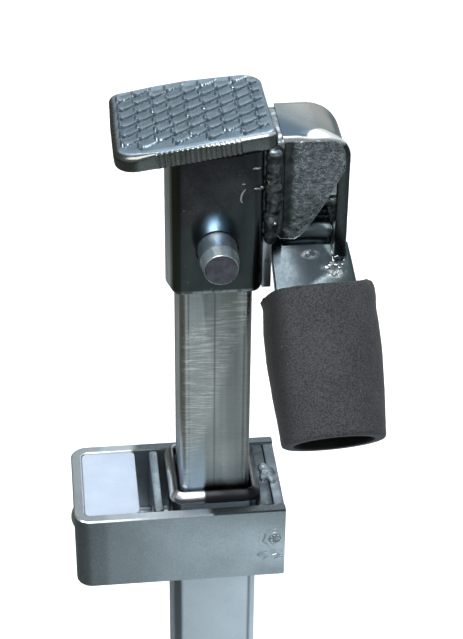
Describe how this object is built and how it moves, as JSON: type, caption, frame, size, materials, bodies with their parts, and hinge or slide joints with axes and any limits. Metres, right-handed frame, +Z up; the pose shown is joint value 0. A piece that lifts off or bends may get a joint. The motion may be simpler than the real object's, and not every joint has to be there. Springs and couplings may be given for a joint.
{
  "type": "telescoping stick head",
  "caption": "Telescoping square-tube stick with a sprung plunger, toothed tread plate, push pin, folding rubber-sleeved peg and a strap loop holding a nylon block.",
  "frame": {"origin": "on the stick's axis at the underside of the rubber foot", "axes": "+Z up the stick, -Y towards the push pin's tip, +X towards the peg bracket"},
  "size_m": [0.1094, 0.1003, 0.3465],
  "materials": {
    "rubber": "matte, fine grain",
    "tube_zinc": "light blue-grey satin zinc",
    "tube_brushed": "bright zinc with fine cross scratches",
    "loop_zinc": "satin blue-grey zinc",
    "plate_zinc": "satin zinc",
    "collar_steel": "polished edge",
    "sleeve_dark": "dark glossy zinc with scratches",
    "tread_zinc": "blue-grey zinc",
    "hood_zinc": "bright zinc",
    "cheek_cast": "rough flame-cut skin, zinc plated",
    "weld": "rippled weld bead, zinc plated",
    "arm_zinc": "light zinc",
    "pin_zinc": "bright turned steel",
    "zinc_bright": "bright zinc",
    "steel_dark": "oiled steel",
    "nylon": "translucent white nylon",
    "black_plastic": "moulded"
  },
  "bodies": {
    "outer": {"rubber_foot": "rubber", "foot_pin": "zinc_bright", "end_plug": "steel_dark", "spring_seat": "zinc_bright", "outer_tube": "tube_zinc", "travel_screw": "zinc_bright", "tube_collar": "collar_steel", "clamp_loop": "loop_zinc", "end_plate_inner": "loop_zinc", "end_plate_outer": "loop_zinc", "end_seam_weld": "weld", "plug_welds": "weld", "nylon_block": "nylon", "guide_bolt": "zinc_bright"},
    "plate": {"pressure_plate": "plate_zinc"},
    "plunger": {"inner_tube": "tube_brushed", "guide_plug": "nylon", "guide_plug_pin": "zinc_bright", "main_spring": "steel_dark", "tube_top_cap": "black_plastic", "head_sleeve": "sleeve_dark", "tread_plate": "tread_zinc", "tread_weld": "weld", "bracket_web": "plate_zinc", "bracket_strap": "hood_zinc", "cheek_plate": "cheek_cast", "web_weld": "weld", "hinge_pin": "zinc_bright", "stop_pin": "zinc_bright"},
    "push_pin": {"push_pin": "pin_zinc", "pin_spring": "zinc_bright"},
    "peg": {"peg_arm": "arm_zinc", "peg_core": "steel_dark", "rubber_sleeve": "rubber"}
  },
  "joints": [
    {"name": "plunger_slide", "type": "slide", "parent": "outer", "child": "plunger", "axis": [0, 0, 1], "range_m": [-0.06, 0], "stiffness_N_per_m": 6000, "springref_m": 0.004, "deforming": ["main_spring"]},
    {"name": "plate_slide", "type": "slide", "parent": "outer", "child": "plate", "axis": [1, 0, 0], "range_m": [-0.0048, 0.003]},
    {"name": "pin_press", "type": "slide", "parent": "plunger", "child": "push_pin", "axis": [0, 1, 0], "range_m": [0, 0.0162], "stiffness_N_per_m": 700, "springref_m": -0.004, "deforming": ["pin_spring"]},
    {"name": "peg_fold", "type": "hinge", "parent": "plunger", "child": "peg", "pos_m": [0.0338, -0.002, 0.3], "axis": [-1, 0, 0], "range_deg": [0, 37]}
  ]
}
